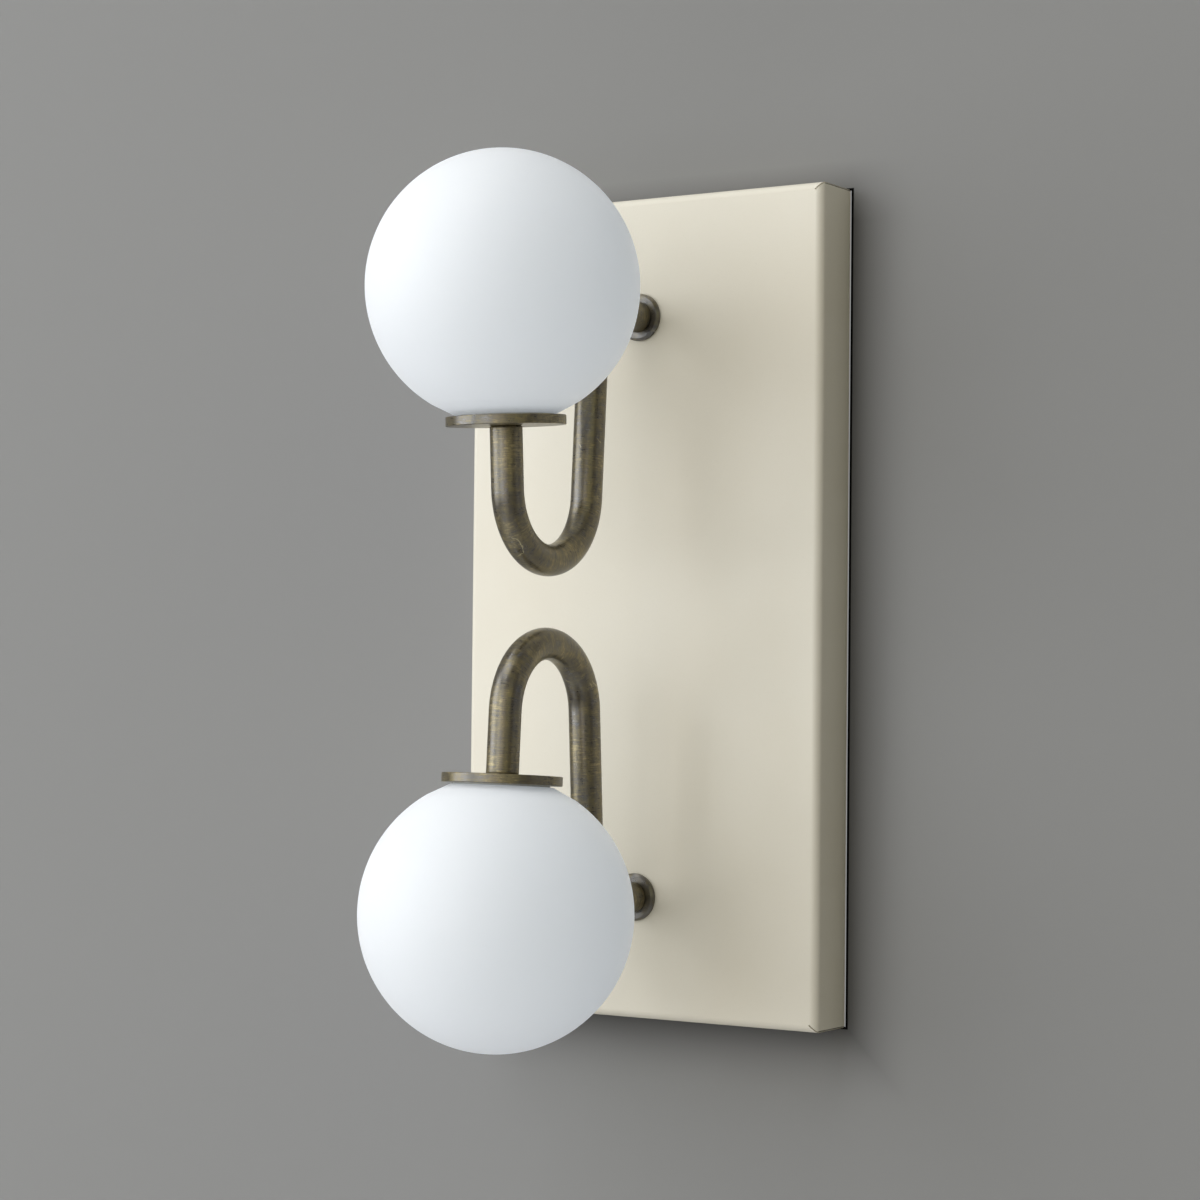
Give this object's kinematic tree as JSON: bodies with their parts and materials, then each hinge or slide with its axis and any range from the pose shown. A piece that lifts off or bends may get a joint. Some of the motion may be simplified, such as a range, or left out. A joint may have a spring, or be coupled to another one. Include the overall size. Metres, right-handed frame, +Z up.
{
  "type": "double arm wall sconce",
  "caption": "Wall light: a flat rectangular cover with two mirrored bent tube arms, each ending in a round disc and an opal glass globe.",
  "frame": {"origin": "centre of the cable hole, in the wall plane, at the middle of the wall bracket's back face", "axes": "+Z up, +Y into the wall, -Y towards the room, +X to the right as seen from the room"},
  "size_m": [0.16, 0.1689, 0.3272],
  "materials": {
    "cream_powder_coat": "matt cream powder coat",
    "aged_brass": "aged brass, cross-brushed and lacquered",
    "opal_glass": "matt acid-etched opal glass, white all through",
    "zinc_plated_steel": "bright zinc plate",
    "nickel_plated_brass": "nickel plate",
    "turned_aluminium": "turned",
    "black_rubber": "moulded",
    "clear_silicone": "translucent silicone",
    "white_nylon": "moulded",
    "black_lead_sheath": "extruded",
    "earth_lead_insulation": "green and yellow insulation",
    "glazed_white_ceramic": "white steatite",
    "frosted_lamp_cover": "frosted",
    "white_lamp_base": "moulded"
  },
  "bodies": {
    "wall_light": {"cover": "cream_powder_coat", "wall_bracket": "zinc_plated_steel", "cover_screws": "zinc_plated_steel", "cable_grommet": "black_rubber", "terminal_block": "white_nylon", "terminal_screws": "nickel_plated_brass", "terminal_fixing_screws": "zinc_plated_steel", "earth_screw": "nickel_plated_brass", "earth_lug": "nickel_plated_brass", "earth_lead": "earth_lead_insulation", "upper_collar": "aged_brass", "upper_fixing_nipple": "zinc_plated_steel", "upper_lock_washer": "zinc_plated_steel", "upper_fixing_nut": "zinc_plated_steel", "upper_arm": "aged_brass", "upper_lead": "black_lead_sheath", "upper_disc": "aged_brass", "upper_head_nipple": "zinc_plated_steel", "upper_head_nut": "zinc_plated_steel", "upper_shade_carrier": "turned_aluminium", "upper_lamp_holder": "glazed_white_ceramic", "upper_lamp_holder_screws": "zinc_plated_steel", "lower_collar": "aged_brass", "lower_fixing_nipple": "zinc_plated_steel", "lower_lock_washer": "zinc_plated_steel", "lower_fixing_nut": "zinc_plated_steel", "lower_arm": "aged_brass", "lower_lead": "black_lead_sheath", "lower_disc": "aged_brass", "lower_head_nipple": "zinc_plated_steel", "lower_head_nut": "zinc_plated_steel", "lower_shade_carrier": "turned_aluminium", "lower_lamp_holder": "glazed_white_ceramic", "lower_lamp_holder_screws": "zinc_plated_steel"},
    "upper_seal_ring": {"upper_globe_seal": "clear_silicone"},
    "upper_globe_glass": {"upper_globe": "opal_glass"},
    "upper_lamp": {"upper_bulb_envelope": "frosted_lamp_cover", "upper_bulb_base": "white_lamp_base", "upper_bulb_pins": "nickel_plated_brass"},
    "lower_seal_ring": {"lower_globe_seal": "clear_silicone"},
    "lower_globe_glass": {"lower_globe": "opal_glass"},
    "lower_lamp": {"lower_bulb_envelope": "frosted_lamp_cover", "lower_bulb_base": "white_lamp_base", "lower_bulb_pins": "nickel_plated_brass"}
  },
  "joints": [
    {"name": "upper_globe_rise", "type": "slide", "parent": "wall_light", "child": "upper_seal_ring", "axis": [0, -0.061, 0.9981], "range_m": [0, 0.009]},
    {"name": "upper_globe_unscrew", "type": "hinge", "parent": "upper_seal_ring", "child": "upper_globe_glass", "pos_m": [0, -0.11893, 0.11364], "axis": [0, -0.061, 0.9981], "range_deg": [0, 1080]},
    {"name": "upper_lamp_pull", "type": "slide", "parent": "wall_light", "child": "upper_lamp", "axis": [0, -0.061, 0.9981], "range_m": [0, 0.012]},
    {"name": "lower_globe_rise", "type": "slide", "parent": "wall_light", "child": "lower_seal_ring", "axis": [0, -0.061, -0.9981], "range_m": [0, 0.009]},
    {"name": "lower_globe_unscrew", "type": "hinge", "parent": "lower_seal_ring", "child": "lower_globe_glass", "pos_m": [0, -0.11893, -0.11364], "axis": [0, -0.061, -0.9981], "range_deg": [0, 1080]},
    {"name": "lower_lamp_pull", "type": "slide", "parent": "wall_light", "child": "lower_lamp", "axis": [0, -0.061, -0.9981], "range_m": [0, 0.012]}
  ],
  "couplings": [
    {"joint": "upper_globe_rise", "follows": "upper_globe_unscrew", "m_per_rad": 0.00047746},
    {"joint": "lower_globe_rise", "follows": "lower_globe_unscrew", "m_per_rad": 0.00047746}
  ]
}
